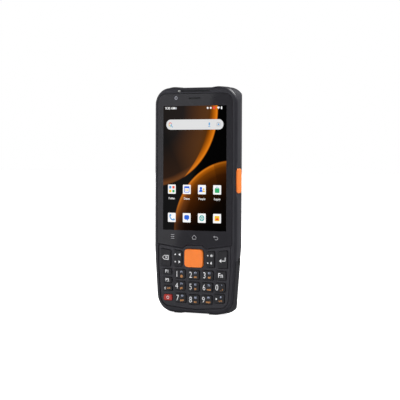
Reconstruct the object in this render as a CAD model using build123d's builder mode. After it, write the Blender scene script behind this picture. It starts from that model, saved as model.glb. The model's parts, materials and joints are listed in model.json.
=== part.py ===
"""Rugged handheld data terminal with a touch screen, a keypad and a side scan button.

Millimetres.  X runs to the right, Y runs from the front (screen, negative) to the back,
Z runs up the long side.  The handset stands on its two foot pads, with Z = 0 under them.
"""
import os

from build123d import *

os.makedirs("parts", exist_ok=True)

# ---- driving dimensions -------------------------------------------------------------
HALF_DEPTH = 7.5            # front plane at -7.5, back plane at +7.5
HALF_WIDTH = 33.9
TOP_Z = 158.4
BOTTOM_Z = 0.6
WAIST_Z = 46.0              # below this height the handset narrows
BOTTOM_HALF_WIDTH = 30.7
TOP_CORNER = 11.8
BOTTOM_CORNER = 13.0
WAIST_RADIUS = 80.0
FRONT_RADIUS = 2.5
BACK_SIDE_RADIUS = 10.0
BACK_END_RADIUS = 4.5
WALL = 1.8
PARTING_Y = 2.0             # joint between front and rear housing
GRIP_BACK_Y = 7.9
# Rounder grip section of the lower end: height, half width, back side radius.
GRIP_SECTIONS = ((48.0, 34.0, 10.65), (40.0, 33.7, 11.9), (-2.0, 30.9, 13.6))

LENS_HALF_WIDTH = 31.05
LENS_TOP_Z = 154.2
LENS_GAP = 0.15
LENS_THICK = 1.0
GASKET_THICK = 0.2
LEDGE_Y = -HALF_DEPTH + LENS_THICK + GASKET_THICK
FRONT_WALL_BACK_Y = -5.2
SCREEN_OPENING = (28.4, 54.3, 147.7)      # half width, lower and upper height
EARPIECE_Z = 150.8
FRONT_CAMERA = (-15.5, 151.2)
GRILLE_X = (-10.9, 12.3)
LIGHT_X = (-14.3, -12.1)
RIM_SLOT_Z = (155.5, 156.5)

PANEL_FRONT_Y = -7.3
PANEL_GAP = 0.45
PANEL_LEDGE = 0.55

KEY_CLEARANCE = 0.25
FLANGE_REACH = 0.65
FLANGE_FRONT_Y = -6.2
FLANGE_BACK_Y = -5.7
KEY_TOP_Y = -8.0
SCAN_KEY_TOP_Y = -8.5
KEY_EDGE = 0.35
STEM_RADIUS = 1.0
STEM_HOLE_RADIUS = 1.35
STEM_END_Y = -4.4
ROCKER_STEM_SPACING = 3.4
DOME_RADIUS = 1.8
DOME_FRONT_Y = -3.9
KEYPAD_BOARD_FRONT_Y = -3.3
KEYPAD_BOARD_BACK_Y = -2.5
BRACKET_BACK_Y = -1.9
TOP_ROW_SLOPE = 0.134

SIDE_BUTTON_Y = -2.9
SIDE_BUTTON_Z = 93.5
SIDE_BUTTON_WIDE = 6.0
SIDE_BUTTON_LONG = 17.0
SIDE_BUTTON_FACE_X = 34.3
DISH_RADIUS = 87.0
DISH_DEPTH = 0.9
DISH_BACK_Y = 1.4
DISH_WIDE = 8.0

BAY_HALF_WIDTH = 22.2
BAY_Z = (42.1, 110.9)
BAY_FLOOR_Y = 1.0
DOOR_HALF_WIDTH = 23.15
DOOR_Z = (40.05, 112.95)
DOOR_THICK = 1.3

BOOT_TOP_Z = 38.0
BOOT_FRONT_Y = -6.0
BOOT_PROUD = 0.2
BOOT_SUNK = 0.9
BUMPER_INSET = 0.9          # the sides of the bumpers lie inside those of the housing
BUMPER_RISE = 1.5
BUMPER_CORNER = 15.5
BUMPER_SUNK = 1.4
BUMPER_LOW_Z = 145.4
BUMPER_RAMP_X = (13.5, 17.5)
BUMPER_HALF_DEPTH = 6.1

CAMERA_X = -11.0
CAMERA_Z = 138.0
FLASH_X = 2.0
UPPER_SCREWS = (19.5, 141.0)
LOWER_SCREWS = (15.0, 22.0)
SCREW_HEAD_RADIUS = 1.9
SCREW_SHANK_RADIUS = 0.9
BOSS_BACK_Y = 5.6
BOSS_RADIUS = 2.2
DOCK_Z = 13.0
DOCK_PITCH = 4.0
USB_Y = -0.3
STRAP_Z = (35.0, 39.8)
STRAP_PIN_X = 32.0

# Push keys: centre x, centre z, width, height, slope of the top edge.
PUSH_KEYS = {
    "backspace_key": (-23.6, 38.7, 8.5, 12.0, -TOP_ROW_SLOPE),
    "scan_key": (0.0, 39.0, 15.1, 12.6, 0.0),
    "enter_key": (23.4, 38.7, 8.4, 12.0, TOP_ROW_SLOPE),
    "p1_key": (-22.3, 29.0, 7.5, 4.0, 0.0),
    "p2_key": (-22.1, 22.9, 7.5, 4.0, 0.0),
    "shift_key": (-21.8, 17.2, 7.9, 3.8, 0.0),
    "power_key": (-21.6, 10.7, 7.0, 4.3, 0.0),
    "key_1": (-11.5, 27.6, 8.5, 6.5, 0.0),
    "key_2": (0.0, 27.4, 9.2, 6.5, 0.0),
    "key_3": (11.4, 27.5, 9.2, 6.5, 0.0),
    "fn_key": (22.1, 27.7, 8.6, 6.3, 0.0),
    "key_4": (-11.6, 19.3, 8.5, 6.3, 0.0),
    "key_5": (0.0, 19.1, 9.2, 6.5, 0.0),
    "key_6": (11.1, 19.1, 9.1, 6.3, 0.0),
    "key_0": (21.6, 19.4, 8.4, 6.3, 0.0),
    "key_7": (-10.9, 10.8, 8.9, 6.4, 0.0),
    "key_8": (0.0, 10.0, 9.2, 6.8, 0.0),
    "key_9": (10.6, 10.4, 8.9, 6.4, 0.0),
    "dot_key": (20.8, 11.6, 8.4, 6.4, 0.0),
}
ROCKER_KEYS = {
    "left_rocker": (-13.5, 38.5, 7.0, 11.2, -TOP_ROW_SLOPE),
    "right_rocker": (13.5, 38.5, 7.0, 11.2, TOP_ROW_SLOPE),
}
ALL_KEYS = {**PUSH_KEYS, **ROCKER_KEYS}


# Limits that reach past the handset on every side.
ALL_AROUND = (-50, 50)
ALL_HEIGHT = (-10, 170)
FAR_BACK = 20
FAR_FRONT = -20


# ---- helpers ------------------------------------------------------------------------
def facing(y):
    """Plane parallel to the screen; extrusions from it grow towards the user."""
    return Plane.XZ.offset(-y)


def block(x_range, y_range, z_range, mode=Mode.ADD):
    """Rectangular block between limits on the three axes."""
    middle = [(low + high) / 2 for low, high in (x_range, y_range, z_range)]
    size = [high - low for low, high in (x_range, y_range, z_range)]
    with Locations(tuple(middle)):
        Box(*size, mode=mode)


def save(part, name):
    """Name a finished piece and write its STEP file."""
    part.label = name
    export_step(part, f"parts/{name}.step")


def body_outline(grow, top_corner):
    """Front outline of the handset, grown by an even margin."""
    with BuildSketch() as outline:
        with BuildLine():
            FilletPolyline(
                (-BOTTOM_HALF_WIDTH, BOTTOM_Z), (BOTTOM_HALF_WIDTH, BOTTOM_Z),
                (HALF_WIDTH, WAIST_Z), (HALF_WIDTH, TOP_Z),
                (-HALF_WIDTH, TOP_Z), (-HALF_WIDTH, WAIST_Z),
                radius=[BOTTOM_CORNER, BOTTOM_CORNER, WAIST_RADIUS,
                        top_corner, top_corner, WAIST_RADIUS], close=True)
        make_face()
        if grow:
            offset(amount=grow)
    return outline.sketch


def lens_outline(grow):
    """Cover glass: rounded top, shallow V along the bottom with a raised middle."""
    with BuildSketch() as outline:
        with BuildLine():
            FilletPolyline(
                (-LENS_HALF_WIDTH, 48.7), (-9.5, 45.8), (-6.0, 48.2), (6.0, 48.2),
                (9.5, 45.8), (LENS_HALF_WIDTH, 48.7),
                (LENS_HALF_WIDTH, LENS_TOP_Z), (-LENS_HALF_WIDTH, LENS_TOP_Z),
                radius=[1.2, 1.6, 1.0, 1.0, 1.6, 1.2, 6.5, 6.5], close=True)
        make_face()
        if grow:
            offset(amount=grow)
    return outline.sketch


def panel_outline(grow):
    """Keypad panel: follows the glass at the top and the handset outline below."""
    with BuildSketch() as outline:
        with BuildLine():
            FilletPolyline(
                (-29.6, 48.05), (-9.7, 45.35), (-6.2, 47.75), (6.2, 47.75),
                (9.7, 45.35), (29.6, 48.05), (29.6, 33.0), (27.4, 5.4), (0.0, 3.2),
                (-27.4, 5.4), (-29.6, 33.0),
                radius=[1.2, 1.6, 1.2, 1.2, 1.6, 1.2, 60, 7, 70, 7, 60], close=True)
        make_face()
        if grow:
            offset(amount=grow)
    return outline.sketch


def key_outline(name, grow):
    """Outline of one key seen from the front."""
    x, z, width, height, slope = ALL_KEYS[name]
    left, right = x - width / 2, x + width / 2
    low, high = z - height / 2, z + height / 2
    corner = 2.5 if name == "scan_key" else 1.1
    with BuildSketch() as outline:
        with BuildLine():
            FilletPolyline(
                (left, low), (right, low), (right, high + slope * width / 2),
                (left, high - slope * width / 2), radius=corner, close=True)
        make_face()
        if grow:
            offset(amount=grow)
    return outline.sketch


def grip_margin(grow):
    """Everything beside and behind the rounder grip section of the lower end."""
    with BuildPart() as grip_form:
        for z, half_width, radius in GRIP_SECTIONS:
            with BuildSketch(Plane.XY.offset(z)) as section:
                with Locations((0, (GRIP_BACK_Y + grow - 30) / 2)):
                    Rectangle(2 * (half_width + grow), GRIP_BACK_Y + grow + 30)
                fillet(section.vertices().sort_by(Axis.Y)[-2:], radius + grow)
        loft(ruled=True)
    with BuildPart() as margin:
        block(ALL_AROUND, (-15, 20), (GRIP_SECTIONS[-1][0], GRIP_SECTIONS[0][0]))
        add(grip_form.part, mode=Mode.SUBTRACT)
    return margin.part


def rounded_body(grow, top_corner=TOP_CORNER):
    """Outer form of the handset, grown or shrunk evenly on every side."""
    margin = grip_margin(grow)
    with BuildPart() as form:
        with BuildSketch(facing(HALF_DEPTH + grow)):
            add(body_outline(grow, top_corner))
        extrude(amount=2 * (HALF_DEPTH + grow))
        fillet(form.faces().sort_by(Axis.Y)[0].edges(), FRONT_RADIUS + grow)
        fillet(form.faces().sort_by(Axis.Y)[-1].edges(), BACK_END_RADIUS + grow)
        with BuildSketch(Plane.XY.offset(-5)) as section:
            with Locations((0, grow / 2 - 5)):
                Rectangle(2 * (HALF_WIDTH + grow), 2 * HALF_DEPTH + 10 + grow)
            fillet(section.vertices().sort_by(Axis.Y)[-2:], BACK_SIDE_RADIUS + grow)
        extrude(amount=TOP_Z + 10, mode=Mode.INTERSECT)
        add(margin, mode=Mode.SUBTRACT)
    return form.part


BODY = rounded_body(0)
CAVITY = rounded_body(-WALL)

# ---- bumpers, and zones taken out of the housings for the other rubber parts ------------
with BuildPart() as boot_zone:
    add(rounded_body(BOOT_PROUD))
    add(rounded_body(-BOOT_SUNK), mode=Mode.SUBTRACT)
    block(ALL_AROUND, (BOOT_FRONT_Y, FAR_BACK), (ALL_HEIGHT[0], BOOT_TOP_Z), mode=Mode.INTERSECT)

with BuildPart() as top_right_bumper:
    add(rounded_body(-BUMPER_INSET, BUMPER_CORNER).moved(Location((0, 0, BUMPER_RISE))))
    add(rounded_body(-BUMPER_SUNK), mode=Mode.SUBTRACT)
    # the inner end rises in a ramp from the top of the housing
    with BuildSketch(facing(BUMPER_HALF_DEPTH)):
        with BuildLine():
            Polyline((BUMPER_RAMP_X[0], BUMPER_LOW_Z), (ALL_AROUND[1], BUMPER_LOW_Z),
                     (ALL_AROUND[1], ALL_HEIGHT[1]), (BUMPER_RAMP_X[1], ALL_HEIGHT[1]),
                     (BUMPER_RAMP_X[1], TOP_Z - BUMPER_INSET + BUMPER_RISE),
                     (BUMPER_RAMP_X[0], TOP_Z), close=True)
        make_face()
    extrude(amount=2 * BUMPER_HALF_DEPTH, mode=Mode.INTERSECT)

with BuildPart() as top_left_bumper:
    mirror(top_right_bumper.part, about=Plane.YZ)

with BuildPart() as foot_zone:
    for side in (-1, 1):
        with Locations((side * 14.5, -0.3, 0.75)):
            Box(6.0, 11.4, 1.5)

with BuildPart() as strap_pocket:
    for side in (-1, 1):
        with Locations((side * (STRAP_PIN_X + 0.6), -1.0, sum(STRAP_Z) / 2)):
            Box(4.0, 4.6, STRAP_Z[1] - STRAP_Z[0])

with BuildPart() as front_cavity:
    add(CAVITY)
    block(ALL_AROUND, (FRONT_WALL_BACK_Y, FAR_BACK), ALL_HEIGHT, mode=Mode.INTERSECT)


# ---- rubber corner bumpers, boot and feet ---------------------------------------------
save(top_right_bumper.part, "top_right_bumper")
save(top_left_bumper.part, "top_left_bumper")

with BuildPart() as foot_pads:
    add(foot_zone.part)
save(foot_pads.part, "foot_pads")

with BuildPart() as rear_grip:
    add(boot_zone.part)
    add(foot_zone.part, mode=Mode.SUBTRACT)
    add(strap_pocket.part, mode=Mode.SUBTRACT)
    block((-5.0, 5.0), (-2.2, 1.6), (-1, 3), mode=Mode.SUBTRACT)
    with BuildSketch(facing(10)):
        with GridLocations(DOCK_PITCH, 1, 5, 1):
            with Locations((0, DOCK_Z)):
                Rectangle(2.2, 3.4)
    extrude(amount=5, mode=Mode.SUBTRACT)
    with BuildSketch(facing(10)):
        with Locations((-LOWER_SCREWS[0], LOWER_SCREWS[1]), LOWER_SCREWS):
            Circle(2.4)
    extrude(amount=5, mode=Mode.SUBTRACT)
    # finger ridges across the back
    with BuildSketch(facing(HALF_DEPTH + BOOT_PROUD)):
        with GridLocations(1, 3.2, 1, 3):
            with Locations((0, 30.0)):
                SlotOverall(34, 1.2)
    extrude(amount=0.35, mode=Mode.SUBTRACT)
save(rear_grip.part, "rear_grip")


# ---- front housing ----------------------------------------------------------------------
with BuildPart() as front_housing:
    add(BODY)
    block(ALL_AROUND, (FAR_FRONT, PARTING_Y), ALL_HEIGHT, mode=Mode.INTERSECT)
    add(front_cavity.part, mode=Mode.SUBTRACT)
    # solid blocks behind the strap slots
    for side in (-1, 1):
        block(tuple(sorted((side * 29.65, side * 31.6))), (-4.6, PARTING_Y), (32.5, 42.0))
    # pocket for glass and keypad panel
    with BuildSketch(facing(LEDGE_Y)):
        add(lens_outline(LENS_GAP))
        add(panel_outline(PANEL_GAP))
    extrude(amount=5, mode=Mode.SUBTRACT)
    # openings behind the glass: screen, earpiece, camera, and the keypad field
    with BuildSketch(facing(FRONT_WALL_BACK_Y + 1)):
        with Locations((0, (SCREEN_OPENING[1] + SCREEN_OPENING[2]) / 2)):
            Rectangle(2 * SCREEN_OPENING[0], SCREEN_OPENING[2] - SCREEN_OPENING[1])
        with Locations((0, EARPIECE_Z)):
            Rectangle(12.8, 3.6)
        with Locations(FRONT_CAMERA):
            Circle(2.5)
        add(panel_outline(-PANEL_LEDGE))
    extrude(amount=5, mode=Mode.SUBTRACT)
    # slot for the grille and hole for the light pipe in the top rim
    with BuildSketch(facing(-6.4)):
        with Locations((sum(GRILLE_X) / 2, sum(RIM_SLOT_Z) / 2)):
            Rectangle(GRILLE_X[1] - GRILLE_X[0] + 0.2, 1.1)
    extrude(amount=5, mode=Mode.SUBTRACT)
    block((LIGHT_X[0] - 0.1, LIGHT_X[1] + 0.1), (-9, -3),
          (RIM_SLOT_Z[0] - 0.05, RIM_SLOT_Z[1] + 0.05), mode=Mode.SUBTRACT)
    # scan window opening in the top
    block((-10.5, 10.5), (-3.8, 1.6), (150, 170), mode=Mode.SUBTRACT)
    # dished recess and aperture for the scan button in the right side
    with BuildSketch(facing(DISH_BACK_Y)):
        with Locations((HALF_WIDTH - DISH_DEPTH + DISH_RADIUS, SIDE_BUTTON_Z)):
            Circle(DISH_RADIUS)
    extrude(amount=DISH_WIDE, mode=Mode.SUBTRACT)
    with BuildSketch(Plane.YZ.offset(32.2)):
        with Locations((SIDE_BUTTON_Y, SIDE_BUTTON_Z)):
            RectangleRounded(SIDE_BUTTON_WIDE + 0.5, SIDE_BUTTON_LONG + 0.5, 2.2)
    extrude(amount=5, mode=Mode.SUBTRACT)
    block((31.0, 33.0), (FRONT_WALL_BACK_Y, 0.35),
          (SIDE_BUTTON_Z - 8.75, SIDE_BUTTON_Z + 8.75), mode=Mode.SUBTRACT)
    # socket opening in the lower end
    block((-4.7, 4.7), (-2.0, 1.4), (-1, 4), mode=Mode.SUBTRACT)
    add(boot_zone.part, mode=Mode.SUBTRACT)
    add(top_right_bumper.part, mode=Mode.SUBTRACT)
    add(top_left_bumper.part, mode=Mode.SUBTRACT)
    add(foot_zone.part, mode=Mode.SUBTRACT)
    add(strap_pocket.part, mode=Mode.SUBTRACT)
save(front_housing.part, "front_housing")


# ---- rear housing -----------------------------------------------------------------------
with BuildPart() as rear_housing:
    add(BODY)
    block(ALL_AROUND, (PARTING_Y, FAR_BACK), ALL_HEIGHT, mode=Mode.INTERSECT)
    add(CAVITY, mode=Mode.SUBTRACT)
    # battery tray
    block((-BAY_HALF_WIDTH - 1, BAY_HALF_WIDTH + 1), (BAY_FLOOR_Y - 0.8, 6.0),
          (BAY_Z[0] - 1, BAY_Z[1] + 1))
    block((-BAY_HALF_WIDTH, BAY_HALF_WIDTH), (BAY_FLOOR_Y, 20), BAY_Z, mode=Mode.SUBTRACT)
    block((-DOOR_HALF_WIDTH - 0.25, DOOR_HALF_WIDTH + 0.25), (HALF_DEPTH - DOOR_THICK - 0.1, 20),
          (DOOR_Z[0] - 0.25, DOOR_Z[1] + 0.25), mode=Mode.SUBTRACT)
    block((-6.3, 6.3), (-1, 3), (43.0, 46.2), mode=Mode.SUBTRACT)
    # latch recess and the slot for its neck
    block((-8.3, 8.3), (6.1, 20), (114.3, 122.9), mode=Mode.SUBTRACT)
    block((-2.25, 2.25), (3, 20), (115.4, 121.8), mode=Mode.SUBTRACT)
    # speaker slots
    with BuildSketch(facing(FAR_BACK)):
        with GridLocations(3.6, 1, 5, 1):
            with Locations((0, 127.5)):
                SlotOverall(6.0, 1.3, rotation=90)
    extrude(amount=17, mode=Mode.SUBTRACT)
    # camera and flash openings
    with BuildSketch(facing(FAR_BACK)):
        with Locations((CAMERA_X, CAMERA_Z)):
            Circle(6.0)
        with Locations((FLASH_X, CAMERA_Z)):
            Circle(2.6)
    extrude(amount=17, mode=Mode.SUBTRACT)
    # screw holes with sunk heads
    with BuildSketch(facing(FAR_BACK)):
        with Locations((-UPPER_SCREWS[0], UPPER_SCREWS[1]), UPPER_SCREWS,
                       (-LOWER_SCREWS[0], LOWER_SCREWS[1]), LOWER_SCREWS):
            Circle(1.1)
    extrude(amount=17, mode=Mode.SUBTRACT)
    with BuildSketch(facing(FAR_BACK)):
        with Locations((-UPPER_SCREWS[0], UPPER_SCREWS[1]), UPPER_SCREWS):
            Circle(2.1)
    extrude(amount=13.8, mode=Mode.SUBTRACT)
    with BuildSketch(facing(FAR_BACK)):
        with GridLocations(DOCK_PITCH, 1, 5, 1):
            with Locations((0, DOCK_Z)):
                Rectangle(2.2, 3.4)
    extrude(amount=17, mode=Mode.SUBTRACT)
    add(boot_zone.part, mode=Mode.SUBTRACT)
    add(top_right_bumper.part, mode=Mode.SUBTRACT)
    add(top_left_bumper.part, mode=Mode.SUBTRACT)
save(rear_housing.part, "rear_housing")


# ---- glass, gasket and display ------------------------------------------------------------
with BuildPart() as touch_lens:
    with BuildSketch(facing(-HALF_DEPTH + LENS_THICK)):
        add(lens_outline(0))
    extrude(amount=LENS_THICK)
    chamfer(touch_lens.faces().sort_by(Axis.Y)[0].edges(), 0.2)
    with BuildSketch(facing(-HALF_DEPTH + LENS_THICK)):
        with Locations((0, EARPIECE_Z)):
            SlotOverall(9.6, 1.0)
    extrude(amount=LENS_THICK, mode=Mode.SUBTRACT)
save(touch_lens.part, "touch_lens")

with BuildPart() as lens_gasket:
    with BuildSketch(facing(LEDGE_Y)):
        add(lens_outline(-0.3))
        with Locations((0, 101.4)):
            RectangleRounded(58.0, 96.0, 3.0, mode=Mode.SUBTRACT)
        with Locations((0, EARPIECE_Z)):
            Rectangle(12.8, 3.6, mode=Mode.SUBTRACT)
        with Locations(FRONT_CAMERA):
            Circle(2.5, mode=Mode.SUBTRACT)
    extrude(amount=GASKET_THICK)
save(lens_gasket.part, "lens_gasket")

with BuildPart() as lcd_module:
    block((-28.1, 28.1), (-6.5, -4.2), (54.8, 147.2))
    chamfer(lcd_module.faces().sort_by(Axis.Y)[-1].edges(), 0.3)
save(lcd_module.part, "lcd_module")

with BuildPart() as mid_frame:
    with BuildSketch(facing(-3.4)):
        with Locations((0, 99.2)):
            RectangleRounded(58.0, 98.4, 2.0)
        with GridLocations(24, 30, 2, 3):
            with Locations((0, 99.2)):
                RectangleRounded(14, 18, 2, mode=Mode.SUBTRACT)
    extrude(amount=0.8)
    with BuildSketch(facing(BOSS_BACK_Y)):
        with Locations((-UPPER_SCREWS[0], UPPER_SCREWS[1]), UPPER_SCREWS):
            Circle(BOSS_RADIUS)
    extrude(amount=9.0)
    with BuildSketch(facing(BOSS_BACK_Y)):
        with Locations((-UPPER_SCREWS[0], UPPER_SCREWS[1]), UPPER_SCREWS):
            Circle(SCREW_SHANK_RADIUS)
    extrude(amount=7.0, mode=Mode.SUBTRACT)
save(mid_frame.part, "mid_frame")


# ---- keypad -------------------------------------------------------------------------------
with BuildPart() as keypad_panel:
    with BuildSketch(facing(LEDGE_Y)):
        add(panel_outline(0))
    extrude(amount=LEDGE_Y - PANEL_FRONT_Y)
    chamfer(keypad_panel.faces().sort_by(Axis.Y)[0].edges(), 0.2)
    with BuildSketch(facing(LEDGE_Y)):
        for name in ALL_KEYS:
            add(key_outline(name, KEY_CLEARANCE))
    extrude(amount=3, mode=Mode.SUBTRACT)
save(keypad_panel.part, "keypad_panel")

STEM_SPOTS = [(x, z) for x, z, width, height, slope in PUSH_KEYS.values()]
for x, z, width, height, slope in ROCKER_KEYS.values():
    STEM_SPOTS.append((x, z - ROCKER_STEM_SPACING))
    STEM_SPOTS.append((x, z + ROCKER_STEM_SPACING))

with BuildPart() as keypad_mat:
    with BuildSketch(facing(-4.6)):
        add(panel_outline(-0.1))
        with Locations(*STEM_SPOTS):
            Circle(STEM_HOLE_RADIUS, mode=Mode.SUBTRACT)
    extrude(amount=0.6)
    with BuildSketch(facing(KEYPAD_BOARD_FRONT_Y)):
        add(panel_outline(-0.1))
        add(panel_outline(-1.1), mode=Mode.SUBTRACT)
    extrude(amount=KEYPAD_BOARD_FRONT_Y + 4.6)
save(keypad_mat.part, "keypad_mat")

with BuildPart() as dome_switches:
    with BuildSketch(facing(KEYPAD_BOARD_FRONT_Y)):
        with Locations(*STEM_SPOTS):
            Circle(DOME_RADIUS)
    extrude(amount=KEYPAD_BOARD_FRONT_Y - DOME_FRONT_Y)
    chamfer(dome_switches.faces().filter_by(Plane.XZ).group_by(Axis.Y)[0].edges(), 0.35)
save(dome_switches.part, "dome_switches")

with BuildPart() as keypad_board:
    with BuildSketch(facing(KEYPAD_BOARD_BACK_Y)):
        add(panel_outline(-0.1))
    extrude(amount=KEYPAD_BOARD_BACK_Y - KEYPAD_BOARD_FRONT_Y)
save(keypad_board.part, "keypad_board")

with BuildPart() as keypad_bracket:
    with BuildSketch(facing(BRACKET_BACK_Y)):
        add(panel_outline(-0.4))
    extrude(amount=BRACKET_BACK_Y - KEYPAD_BOARD_BACK_Y)
    with BuildSketch(facing(BOSS_BACK_Y)):
        with Locations((-LOWER_SCREWS[0], LOWER_SCREWS[1]), LOWER_SCREWS):
            Circle(BOSS_RADIUS)
    extrude(amount=BOSS_BACK_Y - BRACKET_BACK_Y)
    with BuildSketch(facing(BOSS_BACK_Y)):
        with Locations((-LOWER_SCREWS[0], LOWER_SCREWS[1]), LOWER_SCREWS):
            Circle(SCREW_SHANK_RADIUS)
    extrude(amount=7.0, mode=Mode.SUBTRACT)
save(keypad_bracket.part, "keypad_bracket")


def make_push_key(name):
    """Key cap with a hidden flange and a stem that presses its dome."""
    x, z = ALL_KEYS[name][:2]
    top_y = SCAN_KEY_TOP_Y if name == "scan_key" else KEY_TOP_Y
    with BuildPart() as key:
        with BuildSketch(facing(FLANGE_FRONT_Y)):
            add(key_outline(name, 0))
        extrude(amount=FLANGE_FRONT_Y - top_y)
        fillet(key.faces().sort_by(Axis.Y)[0].edges(), KEY_EDGE)
        with BuildSketch(facing(FLANGE_BACK_Y)):
            add(key_outline(name, FLANGE_REACH))
        extrude(amount=FLANGE_BACK_Y - FLANGE_FRONT_Y)
        with BuildSketch(facing(STEM_END_Y)):
            with Locations((x, z)):
                Circle(STEM_RADIUS)
        extrude(amount=STEM_END_Y - FLANGE_BACK_Y)
    save(key.part, name)


def make_rocker_key(name):
    """Rocking key carried by two short ears, with a stem near each end."""
    x, z, width = ALL_KEYS[name][:3]
    with BuildPart() as key:
        with BuildSketch(facing(FLANGE_BACK_Y)):
            add(key_outline(name, 0))
        extrude(amount=FLANGE_BACK_Y - KEY_TOP_Y)
        fillet(key.faces().sort_by(Axis.Y)[0].edges(), KEY_EDGE)
        with BuildSketch(facing(FLANGE_BACK_Y)):
            with Locations((x, z)):
                Rectangle(width + 2 * FLANGE_REACH, 2.4)
        extrude(amount=FLANGE_BACK_Y - FLANGE_FRONT_Y)
        with BuildSketch(facing(STEM_END_Y - 0.1)):
            with Locations((x, z - ROCKER_STEM_SPACING), (x, z + ROCKER_STEM_SPACING)):
                Circle(STEM_RADIUS)
        extrude(amount=STEM_END_Y - 0.1 - FLANGE_BACK_Y)
    save(key.part, name)


for key_name in PUSH_KEYS:
    make_push_key(key_name)
for key_name in ROCKER_KEYS:
    make_rocker_key(key_name)


# ---- side scan button and its switch ----------------------------------------------------
with BuildPart() as side_scan_button:
    with BuildSketch(Plane.YZ.offset(32.9)):
        with Locations((SIDE_BUTTON_Y, SIDE_BUTTON_Z)):
            RectangleRounded(SIDE_BUTTON_WIDE, SIDE_BUTTON_LONG, 2.0)
    extrude(amount=SIDE_BUTTON_FACE_X - 32.9)
    fillet(side_scan_button.faces().sort_by(Axis.X)[-1].edges(), 0.9)
    block((31.4, 33.2), (-4.7, 0.1), (SIDE_BUTTON_Z - 7.5, SIDE_BUTTON_Z + 7.5))
    block((31.3, 31.9), (-4.7, -1.6), (SIDE_BUTTON_Z - 9.4, SIDE_BUTTON_Z + 9.4))
    block((30.9, 31.4), (-1.9, -0.3), (SIDE_BUTTON_Z - 1.2, SIDE_BUTTON_Z + 1.2))
save(side_scan_button.part, "side_scan_button")

with BuildPart() as side_switch:
    block((26.6, 29.6), (-2.2, 0.0), (SIDE_BUTTON_Z - 2.5, SIDE_BUTTON_Z + 2.5))
    block((29.6, 30.2), (-1.8, -0.4), (SIDE_BUTTON_Z - 1.0, SIDE_BUTTON_Z + 1.0))
save(side_switch.part, "side_switch")


# ---- circuit board and what it carries ----------------------------------------------------------
with BuildPart() as main_board:
    with BuildSketch(facing(-2.2)):
        with Locations((0, 101.8)):
            RectangleRounded(56.8, 105.6, 6.0)
        with Locations((0, 150.0)):
            Rectangle(21.4, 12.8, mode=Mode.SUBTRACT)
        with Locations((-UPPER_SCREWS[0], UPPER_SCREWS[1]), UPPER_SCREWS):
            Circle(2.5, mode=Mode.SUBTRACT)
    extrude(amount=0.8)
save(main_board.part, "main_board")

with BuildPart() as shield_cans:
    block((-22, -2), (-2.2, -0.6), (84, 106))
    block((3, 21), (-2.2, -0.6), (88, 106))
    block((-20, 4), (-2.2, -0.6), (58, 76))
    chamfer(shield_cans.faces().group_by(Axis.Y)[-1].edges(), 0.3)
save(shield_cans.part, "shield_cans")

with BuildPart() as scan_engine:
    block((-10.0, 10.0), (-2.9, 5.2), (144.2, 155.2))
    with BuildSketch(Plane.XY.offset(155.2)):
        with Locations((5.0, -0.6)):
            Circle(1.7)
        with Locations((-4.5, -0.6)):
            Rectangle(5.0, 3.2)
    extrude(amount=0.7)
save(scan_engine.part, "scan_engine")

with BuildPart() as scan_window:
    block((-10.5, 10.5), (-3.8, 1.6), (156.7, 157.7))
save(scan_window.part, "scan_window")

with BuildPart() as earpiece:
    block((-6.2, 6.2), (-6.5, -4.6), (149.3, 152.5))
    with BuildSketch(facing(-6.5)):
        with Locations((0, EARPIECE_Z)):
            SlotOverall(9.3, 0.75)
    extrude(amount=0.5)
save(earpiece.part, "earpiece")

with BuildPart() as front_camera:
    with BuildSketch(facing(-3.8)):
        with Locations(FRONT_CAMERA):
            Circle(2.2)
    extrude(amount=2.7)
save(front_camera.part, "front_camera")

with BuildPart() as top_grille:
    block(GRILLE_X, (-7.1, -6.4), RIM_SLOT_Z)
save(top_grille.part, "top_grille")

with BuildPart() as status_light:
    block(LIGHT_X, (-7.3, -6.2), RIM_SLOT_Z)
    # neck passing in front of the bumper's inner end
    block(LIGHT_X, (-6.2, -5.2), (RIM_SLOT_Z[0], 155.8))
    block(LIGHT_X, (-5.2, -3.0), (153.6, 156.2))
save(status_light.part, "status_light")

with BuildPart() as speaker:
    block((-10, 10), (1.6, 5.0), (123.4, 131.6))
    with BuildSketch(facing(5.0)):
        with Locations((0, 127.5)):
            SlotOverall(16.0, 5.0)
    extrude(amount=-0.6)
save(speaker.part, "speaker")

with BuildPart() as rear_camera:
    block((CAMERA_X - 4.5, CAMERA_X + 4.5), (-2.2, 3.0), (CAMERA_Z - 4.5, CAMERA_Z + 4.5))
    with BuildSketch(facing(6.2)):
        with Locations((CAMERA_X, CAMERA_Z)):
            Circle(3.2)
    extrude(amount=3.2)
save(rear_camera.part, "rear_camera")

with BuildPart() as camera_bezel:
    with BuildSketch(facing(HALF_DEPTH + 1.0)):
        with Locations((CAMERA_X, CAMERA_Z)):
            Circle(6.7)
            Circle(4.4, mode=Mode.SUBTRACT)
    extrude(amount=1.0)
    fillet(camera_bezel.faces().sort_by(Axis.Y)[-1].edges(), 0.4)
    with BuildSketch(facing(HALF_DEPTH)):
        with Locations((CAMERA_X, CAMERA_Z)):
            Circle(6.0)
            Circle(4.0, mode=Mode.SUBTRACT)
    extrude(amount=1.8)
save(camera_bezel.part, "camera_bezel")

with BuildPart() as camera_glass:
    with BuildSketch(facing(HALF_DEPTH + 0.7)):
        with Locations((CAMERA_X, CAMERA_Z)):
            Circle(4.4)
    extrude(amount=0.7)
save(camera_glass.part, "camera_glass")

with BuildPart() as flash_window:
    with BuildSketch(facing(HALF_DEPTH)):
        with Locations((FLASH_X, CAMERA_Z)):
            Circle(2.6)
    extrude(amount=1.8)
    block((FLASH_X - 2, FLASH_X + 2), (-2.2, 5.7), (CAMERA_Z - 2, CAMERA_Z + 2))
save(flash_window.part, "flash_window")


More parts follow.
